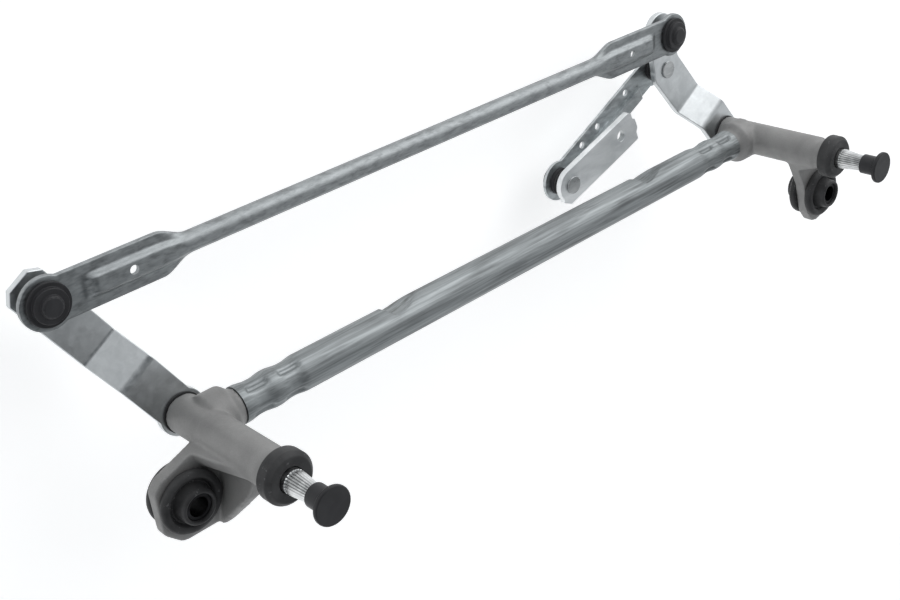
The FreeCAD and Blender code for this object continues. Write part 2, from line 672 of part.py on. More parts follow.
def socket(name, facing, plate, x, y, z, turn="0"):
    """A plastic ball socket snapped in a plate's eye, its dome to the facing side of z."""
    sign = "" if facing == 1 else "-"
    top = "(%s + socket_flange_height + socket_step_height + socket_top_height)" % plate
    step = "(%s + socket_flange_height + socket_step_height)" % plate
    lip = "(%s - socket_lip_height)" % plate
    points = [("0", top), ("socket_top_diameter / 2 - socket_edge", top),
              ("socket_top_diameter / 2", "%s - socket_edge" % top),
              ("socket_top_diameter / 2", step), ("socket_step_diameter / 2", step),
              ("socket_step_diameter / 2", plate + " + socket_flange_height"),
              ("socket_flange_diameter / 2", plate + " + socket_flange_height"),
              ("socket_flange_diameter / 2", plate), ("socket_step_diameter / 2", plate),
              ("socket_step_diameter / 2", lip), ("0", lip)]
    solid = turned([(radius, "%s(%s)" % (sign, height)) for radius, height in points], name + "_turned")
    cavity = sphere("ball_diameter / 2 + ball_clearance")
    opening = cylinder("socket_mouth_diameter / 2", "ball_diameter", along="-z" if facing == 1 else "z")
    return node(name, cut(solid, [cavity, opening]), x, y, z)


def build_rod():
    """The long connecting rod: a tube flattened at both ends round its ball sockets."""
    length = "spindle_spacing"
    front = "(paddle_thickness / 2 - paddle_drop)"
    rear = "(-paddle_thickness / 2 - paddle_drop)"
    axis = "(-paddle_drop - rod_drop)"
    solids, bores = [], []
    for eye, sign, along in (("0", "", "x"), (length, "-", "-x")):
        def out(text, eye=eye, sign=sign):
            return "%s %s (%s)" % (eye, sign or "+", text)
        solids.append(cylinder("rod_eye_radius", "paddle_thickness", eye, z=rear))
        points = [("0", "-paddle_half_width"), ("paddle_length", "-paddle_half_width"),
                  ("paddle_length + paddle_taper", "-rod_diameter / 2"),
                  ("paddle_length + paddle_taper", "rod_diameter / 2"),
                  ("paddle_length", "paddle_half_width"), ("0", "paddle_half_width")]
        solids.append(pad([(out(x), y) for x, y in points], "paddle_thickness", z=rear, name="Paddle"))
        rib = pad([(out("rib_start"), front), (out("rib_start + rib_ramp"), front + " + rib_height"),
                   (out("paddle_length + paddle_taper"), axis + " + rod_diameter / 2"),
                   (out("paddle_length + paddle_taper"), axis),
                   (out("paddle_length"), rear), (out("rib_start"), rear)],
                  "2 * rib_half_width", plane="XZ_Plane", symmetric=True, name="Rib")
        solids.append(rib)
        solids.append(cone("paddle_thickness / 2", "rod_diameter / 2", "paddle_taper",
                           out("paddle_length"), z=axis, along=along))
        bores.append(cylinder("socket_step_diameter / 2 + press_gap", "2 * rod_eye_radius", eye,
                              z="-rod_eye_radius"))
        bores.append(pad([(out("rib_start + rib_ramp"), rear + " - tool_margin"),
                          (out("paddle_length - rib_ramp"), rear + " - tool_margin"),
                          (out("paddle_length - 2 * rib_ramp"), rear + " + channel_depth"),
                          (out("rib_start + 2 * rib_ramp"), rear + " + channel_depth")],
                         "2 * channel_half_width", plane="XZ_Plane", symmetric=True, name="Channel"))
        bores.append(cylinder("paddle_hole_diameter / 2", "2 * rod_eye_radius", out("paddle_hole_along"),
                              z="-rod_eye_radius"))
    run = "(spindle_spacing - 2 * paddle_length - 2 * paddle_taper)"
    solids.append(cylinder("rod_diameter / 2", run, "paddle_length + paddle_taper", z=axis, along="x"))
    bores.append(cylinder("rod_diameter / 2 - rod_wall", run, "paddle_length + paddle_taper", z=axis,
                          along="x"))
    ball_x = "(left_bore_offset_x + lever_length * cos(lever_angle))"
    ball_y = "(left_bore_offset_y + lever_length * sin(lever_angle))"
    ball_z = PIPE_Z + " + " + BALL_HEIGHT
    node("connecting_rod", cut(fuse(solids), bores), ball_x, ball_y, ball_z)
    for side, start in (("left", ball_x), ("right", ball_x + " + spindle_spacing")):
        socket(side + "_rod_socket", 1, front, start, ball_y, ball_z)
        ball_stud(side + "_rod_ball_stud", "rod_stud_reach", "z", start, ball_y,
                  PIPE_Z + " + " + LEVER_FRONT, "lever_thickness")


def build_drive():
    """The drive link behind the right lever and the motor crank at its other end."""
    pin_x = ("(left_bore_offset_x + spindle_spacing + drive_pin_along * cos(lever_angle)"
             " - drive_pin_aside * sin(lever_angle))")
    pin_y = ("(left_bore_offset_y + drive_pin_along * sin(lever_angle)"
             " + drive_pin_aside * cos(lever_angle))")
    low_x = pin_x + " + drive_link_length * cos(drive_link_angle)"
    low_y = pin_y + " + drive_link_length * sin(drive_link_angle)"
    level = PIPE_Z + " + " + DRIVE_BALL
    plate_rear = PIPE_Z + " + " + LEVER_FRONT + " - lever_thickness"
    front, rear = "(link_thickness / 2)", "(-link_thickness / 2)"
    tall = "2 * link_eye_radius"
    plate = pad([("0", "-link_half_width"), ("drive_link_length", "-link_half_width"),
                 ("drive_link_length", "link_half_width"), ("0", "link_half_width")],
                "link_thickness", z=rear, name="LinkPlate")
    rib_start, rib_end = "link_rib_end_gap", "(drive_link_length - link_rib_end_gap)"
    crest = front + " + link_rib_height"
    rib = pad([(rib_start, rear), (rib_start, front), (rib_start + " + link_rib_height", crest),
               (rib_end + " - link_rib_height", crest), (rib_end, front), (rib_end, rear)],
              "2 * link_rib_half_width", plane="XZ_Plane", symmetric=True, name="LinkRib")
    move(rib, y="link_rib_offset")
    solids = [plate, rib, cylinder("link_eye_radius", "link_thickness", z=rear),
              cylinder("link_eye_radius", "link_thickness", "drive_link_length", z=rear)]
    holes = [cylinder("socket_step_diameter / 2 + press_gap", tall, z="-link_eye_radius"),
             cylinder("socket_step_diameter / 2 + press_gap", tall, "drive_link_length", z="-link_eye_radius")]
    for place in ("link_hole_first", "link_hole_second", "link_hole_third"):
        holes.append(cylinder("link_hole_diameter / 2", tall, place, "-link_hole_offset", "-link_eye_radius"))
    node("drive_link", cut(fuse(solids), holes), pin_x, pin_y, level, "drive_link_angle")
    seal_z = "(socket_lip_height - link_thickness / 2)"
    for end, x, y in (("upper", pin_x, pin_y), ("lower", low_x, low_y)):
        socket(end + "_link_socket", -1, front, x, y, level)
        ring = cut(cylinder("dust_seal_diameter / 2", "dust_seal_height", z=seal_z),
                   [cylinder("dust_seal_bore / 2", "dust_seal_height + 2 * tool_margin",
                             z=seal_z + " - tool_margin")])
        node(end + "_link_dust_seal", ring, x, y, level)
    ball_stud("drive_ball_stud", "drive_stud_reach", "-z", pin_x, pin_y, plate_rear, "lever_thickness")
    ball_stud("motor_crank_ball_stud", "drive_stud_reach", "-z", low_x, low_y,
              PIPE_Z + " + " + LEVER_FRONT + " - lever_thickness", "motor_crank_thickness")
    reach = "(motor_crank_length + crank_tip_reach)"
    crank = pad([("-crank_end_half_width", "-crank_heel"), ("-crank_heel", "-crank_end_half_width"),
                 ("motor_crank_length", "-crank_low_side"),
                 (reach, "-crank_low_side"), (reach, "-crank_tongue_width - crank_corner"),
                 (reach + " + crank_corner", "-crank_tongue_width"),
                 (reach + " + crank_corner", "crank_corner"),
                 (reach, "crank_corner * 2"), (reach, "crank_high_side - crank_corner"),
                 (reach + " - crank_corner", "crank_high_side"), ("0", "crank_end_half_width")],
                "motor_crank_thickness", name="CrankPlate")
    round_corners(crank, "crank_round", lambda edge: is_upright(edge) and
                  edge.CenterOfMass.x > size("crank_round"))
    through = "(motor_crank_thickness + 2 * tool_margin)"
    shank = cylinder("stud_shank_diameter / 2 + press_gap", through, z="-tool_margin")
    shaft = cylinder("motor_shaft_hole / 2", through, "motor_crank_length", z="-tool_margin")
    body = fuse([crank, cylinder("crank_end_half_width", "motor_crank_thickness")])
    node("motor_crank", cut(body, [shank, shaft]), low_x, low_y,
         PIPE_Z + " + " + LEVER_FRONT + " - lever_thickness", "motor_crank_angle")


build_tube()
for side in SIDES:
    build_housing(side)
    build_mount(side)
    build_spindle(side)
    build_lever(side)
build_rod()
build_drive()

doc.recompute()
for thing in doc.Objects:
    if "Invalid" in thing.State or "Error" in thing.State:
        raise RuntimeError("%s (%s) failed: %s" % (thing.Name, thing.Label, thing.State))
for thing in NODES:
    shape = thing.Shape
    if shape.isNull() or not shape.isValid():
        raise RuntimeError("%s has no valid shape" % thing.Label)
os.makedirs("parts", exist_ok=True)
for thing in NODES:
    thing.Shape.exportStep("parts/%s.step" % thing.Label)
print("wrote", len(NODES), "parts")
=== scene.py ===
import json
import math

import bmesh
import bpy
from mathutils import Matrix, Vector


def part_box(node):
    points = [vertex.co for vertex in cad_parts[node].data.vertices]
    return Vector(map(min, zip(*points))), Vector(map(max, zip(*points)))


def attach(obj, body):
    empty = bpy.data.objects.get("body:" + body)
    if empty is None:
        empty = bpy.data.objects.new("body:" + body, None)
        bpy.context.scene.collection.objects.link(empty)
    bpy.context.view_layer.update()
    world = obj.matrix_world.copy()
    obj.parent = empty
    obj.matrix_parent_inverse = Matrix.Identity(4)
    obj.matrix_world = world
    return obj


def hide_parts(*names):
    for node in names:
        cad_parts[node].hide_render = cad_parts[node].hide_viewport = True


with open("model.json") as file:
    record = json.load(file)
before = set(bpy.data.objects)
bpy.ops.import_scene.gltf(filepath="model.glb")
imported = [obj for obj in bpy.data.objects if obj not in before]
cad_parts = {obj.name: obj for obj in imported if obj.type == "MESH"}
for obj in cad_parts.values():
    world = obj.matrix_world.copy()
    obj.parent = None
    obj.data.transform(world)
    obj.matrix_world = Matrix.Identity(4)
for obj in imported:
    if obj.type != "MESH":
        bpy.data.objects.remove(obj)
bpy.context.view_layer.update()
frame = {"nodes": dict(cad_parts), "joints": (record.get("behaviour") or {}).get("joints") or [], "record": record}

MM = 0.001
FULL_TURN = 2.0 * math.pi

RECORD = frame["record"]
BODY_OF = {node: body for body, nodes in RECORD["behaviour"]["bodies"].items() for node in nodes}
SLOT_OF = {part["node"]: part["material_slot"] for part in RECORD["subparts"]}
JOINT_PLACE = {joint["name"]: joint["pos_m"] for joint in frame["joints"]}

# The two spindles, and the height at which the housings' pipes end behind
LEFT_SPINDLE = JOINT_PLACE["left_spindle_turn"]
RIGHT_SPINDLE = JOINT_PLACE["right_spindle_turn"]
SIDES = {"left": LEFT_SPINDLE, "right": RIGHT_SPINDLE}
SPACING = RIGHT_SPINDLE[0] - LEFT_SPINDLE[0]
PIPE_REAR = -25.5 * MM

# How a copy of a node is cleaned
WELD_DISTANCE = 0.002 * MM
FLAT_ANGLE = math.radians(0.6)

# How plates and turned pieces are eased, and which edges are the bends of a joggled plate
EASED_ANGLE = math.radians(28.0)
BEND_LENGTH = 12.0 * MM
BEND_ANGLES = (math.radians(15.0), math.radians(60.0))
BEND_SEGMENTS = 5

# The drill that cuts round holes
DRILL_SIDES = 48
DRILL_LENGTH = 200.0 * MM


def linked(name, mesh):
    """A new object for a mesh, a lamp or a camera, in the scene."""
    piece = bpy.data.objects.new(name, mesh)
    bpy.context.scene.collection.objects.link(piece)
    return piece


def from_bmesh(name, bm):
    """A new object from a bmesh, with its faces turned outwards."""
    bmesh.ops.recalc_face_normals(bm, faces=bm.faces)
    mesh = bpy.data.meshes.new(name)
    bm.to_mesh(mesh)
    bm.free()
    return linked(name, mesh)


def apply_modifiers(piece):
    """Bake the piece's modifiers into its mesh."""
    bpy.context.view_layer.update()
    graph = bpy.context.evaluated_depsgraph_get()
    mesh = bpy.data.meshes.new_from_object(piece.evaluated_get(graph))
    piece.modifiers.clear()
    piece.data = mesh


def smooth(piece, angle=35.0):
    """Smooth shading, with edges sharper than the angle kept crisp."""
    piece.data.shade_smooth()
    piece.data.set_sharp_from_angle(angle=math.radians(angle))


def stands_for(piece, node):
    """The piece takes a node's place, body, slot and material."""
    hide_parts(node)
    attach(piece, BODY_OF[node])
    piece.data.materials.clear()
    piece.data.materials.append(FINISH[SLOT_OF[node]])


def merged_copy(node):
    """A copy of a node's mesh with its loose triangles joined into whole faces."""
    mesh = frame["nodes"][node].data.copy()
    bm = bmesh.new()
    bm.from_mesh(mesh)
    bmesh.ops.remove_doubles(bm, verts=bm.verts, dist=WELD_DISTANCE)
    bmesh.ops.dissolve_limit(bm, angle_limit=FLAT_ANGLE, verts=bm.verts, edges=bm.edges)
    bm.to_mesh(mesh)
    bm.free()
    mesh.materials.clear()
    return linked(node + "_finish", mesh)


def rounded_bends(piece, bend):
    """Round off the long, shallow bends of a joggled plate."""
    bm = bmesh.new()
    bm.from_mesh(piece.data)
    least, most = BEND_ANGLES
    bends = [edge for edge in bm.edges if len(edge.link_faces) == 2 and edge.calc_length() > BEND_LENGTH
             and least < edge.calc_face_angle() < most]
    bmesh.ops.bevel(bm, geom=bends, offset=bend, segments=BEND_SEGMENTS, profile=0.5, affect="EDGES",
                    material=-1)
    bm.to_mesh(piece.data)
    bm.free()


def eased(node, width, segments=3, bend=0.0):
    """The node with its sharp edges rounded off, and its flats shaded flat."""
    piece = merged_copy(node)
    if bend:
        rounded_bends(piece, bend)
    rounding = piece.modifiers.new("EasedEdges", "BEVEL")
    rounding.width = width
    rounding.segments = segments
    rounding.limit_method = "ANGLE"
    rounding.angle_limit = EASED_ANGLE
    rounding.use_clamp_overlap = True
    rounding.miter_outer = "MITER_ARC"
    apply_modifiers(piece)
    smooth(piece)
    flats = piece.modifiers.new("PlainFlats", "WEIGHTED_NORMAL")
    flats.keep_sharp = True
    apply_modifiers(piece)
    stands_for(piece, node)


def cast(node, voxel, rounds):
    """The node with every edge and root blended, as a casting comes from its mould."""
    piece = merged_copy(node)
    remesh = piece.modifiers.new("Casting", "REMESH")
    remesh.mode = "VOXEL"
    remesh.voxel_size = voxel
    remesh.use_smooth_shade = True
    softening = piece.modifiers.new("Softening", "SMOOTH")
    softening.factor = 0.5
    softening.iterations = rounds
    apply_modifiers(piece)
    piece.data.shade_smooth()
    stands_for(piece, node)


def lofted(name, stations, segments, section, ends="capped"):
    """A skin over one ring of points per station, its ends capped, open or joined to each other."""
    bm = bmesh.new()
    rings = []
    for station in stations:
        verts = bmesh.ops.create_circle(bm, segments=segments, radius=MM)["verts"]
        for index, vert in enumerate(verts):
            vert.co = section(station, index / segments)
        rings.append(list({edge for vert in verts for edge in vert.link_edges}))
    for first, second in zip(rings, rings[1:]):
        bmesh.ops.bridge_loops(bm, edges=first + second)
    if ends == "capped":
        bmesh.ops.contextual_create(bm, geom=rings[0])
        bmesh.ops.contextual_create(bm, geom=rings[-1])
    if ends == "joined":
        bmesh.ops.bridge_loops(bm, edges=rings[-1] + rings[0])
    return from_bmesh(name, bm)


def step(value, start, end):
    """A smooth rise from 0 at start to 1 at end."""
    share = min(max((value - start) / (end - start), 0.0), 1.0)
    return share * share * (3.0 - 2.0 * share)


def drilled(piece, drills):
    """Cut round holes along Z: each drill is (x, y, radius) in metres."""
    for index, (x, y, radius) in enumerate(drills):
        bm = bmesh.new()
        bmesh.ops.create_cone(bm, cap_ends=True, segments=DRILL_SIDES, radius1=radius, radius2=radius,
                              depth=DRILL_LENGTH)
        bmesh.ops.translate(bm, verts=bm.verts, vec=(x, y, 0.0))
        drill = from_bmesh("drill_%d" % index, bm)
        hole = piece.modifiers.new("Hole", "BOOLEAN")
        hole.operation = "DIFFERENCE"
        hole.solver = "EXACT"
        hole.object = drill
        apply_modifiers(piece)
        bpy.data.objects.remove(drill)


# Materials: between which values of a pattern its colours change
CLOUD_STOPS = (0.34, 0.54, 0.70)
STREAK_STOPS = (0.39, 0.60)
TURNED_STOPS = (0.38, 0.62)
FLOW_STOPS = (0.35, 0.65)
GRAIN_STOPS = (0.42, 0.60)
HAZE_STOPS = (0.35, 0.72)
DUST_WIDTH = 0.03
ROUGH_STOPS = (0.3, 0.7)

# How far the roughness goes below and above its middle, and how pale the brightest spots and dust are
ROUGH_BELOW = 0.08
ROUGH_ABOVE = 0.10
HIGHLIGHT = 1.15
DUST_BASE = 0.05
DUST_LIFT = 2.0

# How much finer than a metal's clouds its other patterns are, and how much deeper the slow waves are
WEAR_FINENESS = 3.0
SCRATCH_FINENESS = 22.0
WAVE_FINENESS = 2.2
DENT_DEPTH = 9.0
SKIN_WAVE_DEPTH = 8.0
BUMP_DETAIL = 3.0
EVEN = (1.0, 1.0, 1.0)
BLACK = (0.0, 0.0, 0.0)
WHITE = (1.0, 1.0, 1.0)


def node_at(tree, kind, **sockets):
    """A shader node with some of its input sockets set."""
    node = tree.nodes.new(kind)
    for name, value in sockets.items():
        node.inputs[name.replace("_", " ")].default_value = value
    return node


def pattern(tree, scale, detail, stretch=EVEN, distortion=0.0, roughness=0.55):
    """A noise pattern on object coordinates, drawn out along the axes by stretch."""
    place = tree.nodes.new("ShaderNodeTexCoord")
    mapping = node_at(tree, "ShaderNodeMapping", Scale=stretch)
    tree.links.new(place.outputs["Object"], mapping.inputs["Vector"])
    noise = node_at(tree, "ShaderNodeTexNoise", Scale=scale, Detail=detail, Roughness=roughness,
                    Distortion=distortion)
    tree.links.new(mapping.outputs["Vector"], noise.inputs["Vector"])
    return noise.outputs["Fac"]


def ramp(tree, value, stops, colours):
    """A colour ramp over a value, with one colour at each stop."""
    node = tree.nodes.new("ShaderNodeValToRGB")
    while len(node.color_ramp.elements) < len(stops):
        node.color_ramp.elements.new(0.5)
    for element, stop, colour in zip(node.color_ramp.elements, stops, colours):
        element.position = stop
        element.color = (*colour, 1.0)
    tree.links.new(value, node.inputs["Fac"])
    return node.outputs["Color"]


def ranged(tree, value, low, high):
    """A pattern's value brought to the range low to high."""
    start, end = ROUGH_STOPS
    node = node_at(tree, "ShaderNodeMapRange", From_Min=start, From_Max=end, To_Min=low, To_Max=high)
    tree.links.new(value, node.inputs["Value"])
    return node.outputs["Result"]


def mixed(tree, share, first, second):
    """Two colours mixed by a share."""
    node = tree.nodes.new("ShaderNodeMix")
    node.data_type = "RGBA"
    factor, a, b = node.inputs[0], node.inputs[6], node.inputs[7]
    for socket, value in ((factor, share), (a, first), (b, second)):
        if isinstance(value, bpy.types.NodeSocket):
            tree.links.new(value, socket)
        elif socket is factor:
            socket.default_value = value
        else:
            socket.default_value = (*value, 1.0)
    return node.outputs[2]


def bumps(tree, *layers):
    """Bumps laid over one another: each layer is (scale, stretch, strength, distance)."""
    normal = None
    for scale, stretch, strength, distance in layers:
        node = node_at(tree, "ShaderNodeBump", Strength=strength, Distance=distance)
        tree.links.new(pattern(tree, scale, BUMP_DETAIL, stretch), node.inputs["Height"])
        if normal:
            tree.links.new(normal, node.inputs["Normal"])
        normal = node.outputs["Normal"]
    return normal


def finish(name, colour, rough, normal, metallic, specular=0.5):
    """A finished surface: colour, rough and normal are functions of the node tree."""
    material = bpy.data.materials.new(name)
    material.use_nodes = True
    tree = material.node_tree
    shader = tree.nodes["Principled BSDF"]
    shader.inputs["Metallic"].default_value = metallic
    shader.inputs["Specular IOR Level"].default_value = specular
    tree.links.new(colour(tree), shader.inputs["Base Color"])
    tree.links.new(rough(tree), shader.inputs["Roughness"])
    tree.links.new(normal(tree), shader.inputs["Normal"])
    return material


def zinc(name, dark, light, rough, cloud=55.0, stretch=(0.25, 1.0, 1.0), drawn=(0.7, 1.0, 1.0), fine=4.0,
         share=0.45, depth=0.03 * MM, dents=0.08):
    """Plated or bare metal: streaks drawn along the piece, soft clouds, fine scratches and shallow dents."""
    bright = tuple(min(1.0, HIGHLIGHT * part) for part in light)
    scratches = {"scale": cloud * SCRATCH_FINENESS, "stretch": (0.08, 1.0, 1.0), "strength": 0.10,
                 "distance": depth}
    waves = {"scale": cloud * WAVE_FINENESS, "stretch": EVEN, "strength": dents,
             "distance": depth * DENT_DEPTH}

    def colour(tree):
        streaks = pattern(tree, cloud * fine, detail=5.0, stretch=stretch, distortion=0.3)
        clouds = pattern(tree, cloud, detail=4.0, stretch=drawn, distortion=0.6)
        base = ramp(tree, clouds, CLOUD_STOPS, (dark, light, bright))
        return mixed(tree, share, base, ramp(tree, streaks, STREAK_STOPS, (dark, light)))

    def roughness(tree):
        wear = pattern(tree, cloud * WEAR_FINENESS, detail=5.0, stretch=stretch)
        return ranged(tree, wear, rough - ROUGH_BELOW, rough + ROUGH_ABOVE)

    def normal(tree):
        return bumps(tree, scratches.values(), waves.values())

    return finish(name, colour, roughness, normal, metallic=1.0)


def fluted_steel(name, dark, light, groove_painted_shade, rough_low, rough_high):
    """Turned steel, with painted shade in the knurl's flute bottoms, read from the piece's own attribute."""
    turning = {"scale": 2400.0, "stretch": (1.0, 1.0, 0.1), "strength": 0.10, "distance": 0.03 * MM}

    def colour(tree):
        turned = ramp(tree, pattern(tree, scale=260.0, detail=4.0), TURNED_STOPS, (dark, light))
        # Painted shade: the flute bottoms are mixed towards the dark groove colour
        flute_painted_shade = tree.nodes.new("ShaderNodeAttribute")
        flute_painted_shade.attribute_name = "flute_painted_shade"
        return mixed(tree, flute_painted_shade.outputs["Fac"], turned, groove_painted_shade)

    def roughness(tree):
        return ranged(tree, pattern(tree, scale=360.0, detail=4.0), rough_low, rough_high)

    def normal(tree):
        return bumps(tree, turning.values())

    return finish(name, colour, roughness, normal, metallic=1.0)


def die_cast(name, dark, light, rough_low, rough_high):
    """Matt grey die-cast alloy with a fine sandy skin and faint flow marks."""
    grain_share = 0.22
    sand = {"scale": 900.0, "stretch": EVEN, "strength": 0.16, "distance": 0.06 * MM}
    ripples = {"scale": 110.0, "stretch": EVEN, "strength": 0.25, "distance": 0.25 * MM}

    def colour(tree):
        flow = pattern(tree, scale=38.0, detail=4.0, distortion=0.8)
        grains = pattern(tree, scale=1600.0, detail=2.0)
        return mixed(tree, grain_share, ramp(tree, flow, FLOW_STOPS, (dark, light)),
                     ramp(tree, grains, GRAIN_STOPS, (dark, light)))

    def roughness(tree):
        return ranged(tree, pattern(tree, scale=300.0, detail=4.0), rough_low, rough_high)

    def normal(tree):
        return bumps(tree, sand.values(), ripples.values())

    return finish(name, colour, roughness, normal, metallic=0.35)


def black_skin(name, base, worn, rough, specks, grain, depth):
    """Black rubber or plastic with a fine grain, worn haze and a few pale specks of dust."""
    dust_colour = tuple(DUST_BASE + DUST_LIFT * part for part in base)
    skin = {"scale": grain, "stretch": EVEN, "strength": 0.25, "distance": depth}
    waves = {"scale": 90.0, "stretch": EVEN, "strength": 0.3, "distance": depth * SKIN_WAVE_DEPTH}

    def colour(tree):
        haze = pattern(tree, scale=60.0, detail=5.0, distortion=0.5)
        dust = pattern(tree, scale=420.0, detail=2.0, roughness=0.7)
        return mixed(tree, ramp(tree, dust, (specks, specks + DUST_WIDTH), (BLACK, WHITE)),
                     ramp(tree, haze, HAZE_STOPS, (base, worn)), dust_colour)

    def roughness(tree):
        return ranged(tree, pattern(tree, scale=140.0, detail=4.0), rough - ROUGH_BELOW, rough + ROUGH_ABOVE)

    def normal(tree):
        return bumps(tree, skin.values(), waves.values())

    return finish(name, colour, roughness, normal, metallic=0.0, specular=0.22)


FINISH = {
    "die_cast": die_cast("die_cast_alloy", dark=(0.235, 0.233, 0.23), light=(0.31, 0.307, 0.302),
                         rough_low=0.48, rough_high=0.62),
    "tube_zinc": zinc("dull_tube_zinc", dark=(0.155, 0.165, 0.168), light=(0.335, 0.356, 0.362), rough=0.50,
                      cloud=200.0, stretch=(0.03, 1.0, 1.0), drawn=(0.10, 1.0, 1.0), share=0.5),
    "rod_zinc": zinc("rod_zinc", dark=(0.20, 0.211, 0.216), light=(0.34, 0.359, 0.366), rough=0.44,
                     cloud=260.0, drawn=(0.5, 1.0, 1.0), fine=3.0, share=0.5, depth=0.02 * MM, dents=0.12),
    "link_zinc": zinc("link_zinc", dark=(0.28, 0.30, 0.31), light=(0.56, 0.59, 0.60), rough=0.44,
                      cloud=120.0),
    "crank_zinc": zinc("crank_zinc", dark=(0.66, 0.68, 0.69), light=(0.84, 0.855, 0.86), rough=0.48),
    "lever_zinc": zinc("bright_lever_zinc", dark=(0.55, 0.572, 0.58), light=(0.64, 0.662, 0.67), rough=0.36,
                       cloud=120.0, stretch=(0.8, 1.0, 1.0), drawn=EVEN, fine=3.0, share=0.4,
                       depth=0.003 * MM, dents=0.02),
    "stud_steel": zinc("stud_steel", dark=(0.34, 0.35, 0.355), light=(0.52, 0.53, 0.53), rough=0.32,
                       cloud=120.0),
    # The groove colour is painted shade for the bottoms of the knurl's flutes
    "shaft_steel": fluted_steel("turned_steel", dark=(0.62, 0.63, 0.63), light=(0.86, 0.87, 0.87),
                                groove_painted_shade=(0.13, 0.13, 0.133), rough_low=0.26, rough_high=0.42),
    "sleeve_steel": zinc("black_oxide_steel", dark=(0.012, 0.012, 0.013), light=(0.03, 0.03, 0.032),
                         rough=0.42, cloud=120.0),
    "clip_steel": zinc("phosphated_steel", dark=(0.08, 0.08, 0.085), light=(0.18, 0.18, 0.185), rough=0.45,
                       cloud=120.0),
    "bush_bronze": zinc("sintered_bronze", dark=(0.34, 0.24, 0.13), light=(0.58, 0.43, 0.26), rough=0.45,
                        cloud=140.0),
    "rubber": black_skin("black_rubber", base=(0.026, 0.026, 0.027), worn=(0.066, 0.066, 0.067), rough=0.46,
                         specks=0.66, grain=700.0, depth=0.04 * MM),
    "black_plastic": black_skin("satin_black_plastic", base=(0.026, 0.026, 0.028),
                                worn=(0.042, 0.042, 0.045), rough=0.40, specks=0.80, grain=900.0,
                                depth=0.02 * MM),
}

for node, thing in frame["nodes"].items():
    thing.data.materials.clear()
    thing.data.materials.append(FINISH[SLOT_OF[node]])


# Frame tube: crimped ends over the spigots, and two pressed notches
TUBE_INSET = 20.0 * MM
TUBE_START = LEFT_SPINDLE[0] + TUBE_INSET
TUBE_LENGTH = SPACING - 2.0 * TUBE_INSET
TUBE_RADIUS = 10.0 * MM
TUBE_WALL = 1.4 * MM
TUBE_POINTS = 96
TUBE_AXIS_Y = LEFT_SPINDLE[1]
TUBE_AXIS_Z = PIPE_REAR + 15.7 * MM

# Each crimp: a waist that slopes out on both sides, with four pressed dimples round it
CRIMP_WAISTS = (10.5 * MM, 29.5 * MM)
CRIMP_DEPTH = 0.9 * MM
CRIMP_SLOPE = (1.0 * MM, 9.0 * MM)
DIMPLE_ANGLES = (30.0, 120.0, 210.0, 300.0)
DIMPLE_DEPTH = 1.3 * MM
DIMPLE_ENDS = (5.0 * MM, 7.0 * MM)
DIMPLE_SIDES = (0.6 * MM, 2.4 * MM)

# Each notch: a flat that drops steeply and rises slowly along the tube
NOTCHES = (104.0 * MM, 308.0 * MM)
NOTCH_DEPTH = 3.8 * MM
NOTCH_ANGLE = math.radians(-10.0)
NOTCH_DROP = (-9.0 * MM, -4.0 * MM)
NOTCH_RISE = (-4.0 * MM, 19.0 * MM)
NOTCH_LEAST_TURN = 0.2

# Where the tube's rings stand close together
BUSY_END = 42.0 * MM
BUSY_NOTCH = (-12.0 * MM, 20.0 * MM)
CLOSE_RINGS = 0.7 * MM
WIDE_RINGS = 4.0 * MM
LAST_RING_GAP = 0.5 * MM


def tube_radius(along, angle):
    """The tube's radius at a distance from its left rim and an angle from +Y towards +Z."""
    from_rim = min(along, TUBE_LENGTH - along)
    radius = TUBE_RADIUS
    for waist in CRIMP_WAISTS:
        radius -= CRIMP_DEPTH * (1.0 - step(abs(from_rim - waist), *CRIMP_SLOPE))
    for waist in CRIMP_WAISTS:
        within = 1.0 - step(abs(from_rim - waist), *DIMPLE_ENDS)
        for aim in DIMPLE_ANGLES:
            degrees = abs((math.degrees(angle) - aim + 180.0) % 360.0 - 180.0)
            away = math.radians(degrees) * TUBE_RADIUS
            radius -= DIMPLE_DEPTH * within * (1.0 - step(away, *DIMPLE_SIDES))
    for middle in NOTCHES:
        offset = along - middle
        depth = NOTCH_DEPTH * step(offset, *NOTCH_DROP) * (1.0 - step(offset, *NOTCH_RISE))
        turn = math.cos(angle - NOTCH_ANGLE)
        if turn > NOTCH_LEAST_TURN and depth > 0.0:
            radius = min(radius, (TUBE_RADIUS - depth) / turn)
    return radius


def tube_point(along, turn):
    """A point of the tube's skin."""
    angle = FULL_TURN * turn
    radius = tube_radius(along, angle)
    return Vector((TUBE_START + along, TUBE_AXIS_Y + radius * math.cos(angle),
                   TUBE_AXIS_Z + radius * math.sin(angle)))


def tube_stations():
    """Close stations where the tube changes, and wide ones along its plain runs."""
    places = []
    along = 0.0
    before, after = BUSY_NOTCH
    while along < TUBE_LENGTH - LAST_RING_GAP:
        places.append(along)
        near_rim = min(along, TUBE_LENGTH - along) < BUSY_END
        near_notch = any(before < along - middle < after for middle in NOTCHES)
        along += CLOSE_RINGS if near_rim or near_notch else WIDE_RINGS
    return places + [TUBE_LENGTH]


tube = lofted("frame_tube_finish", tube_stations(), TUBE_POINTS, tube_point, ends="open")
wall = tube.modifiers.new("Wall", "SOLIDIFY")
wall.thickness = TUBE_WALL
wall.offset = -1.0
apply_modifiers(tube)
smooth(tube, angle=50.0)
stands_for(tube, "frame_tube")


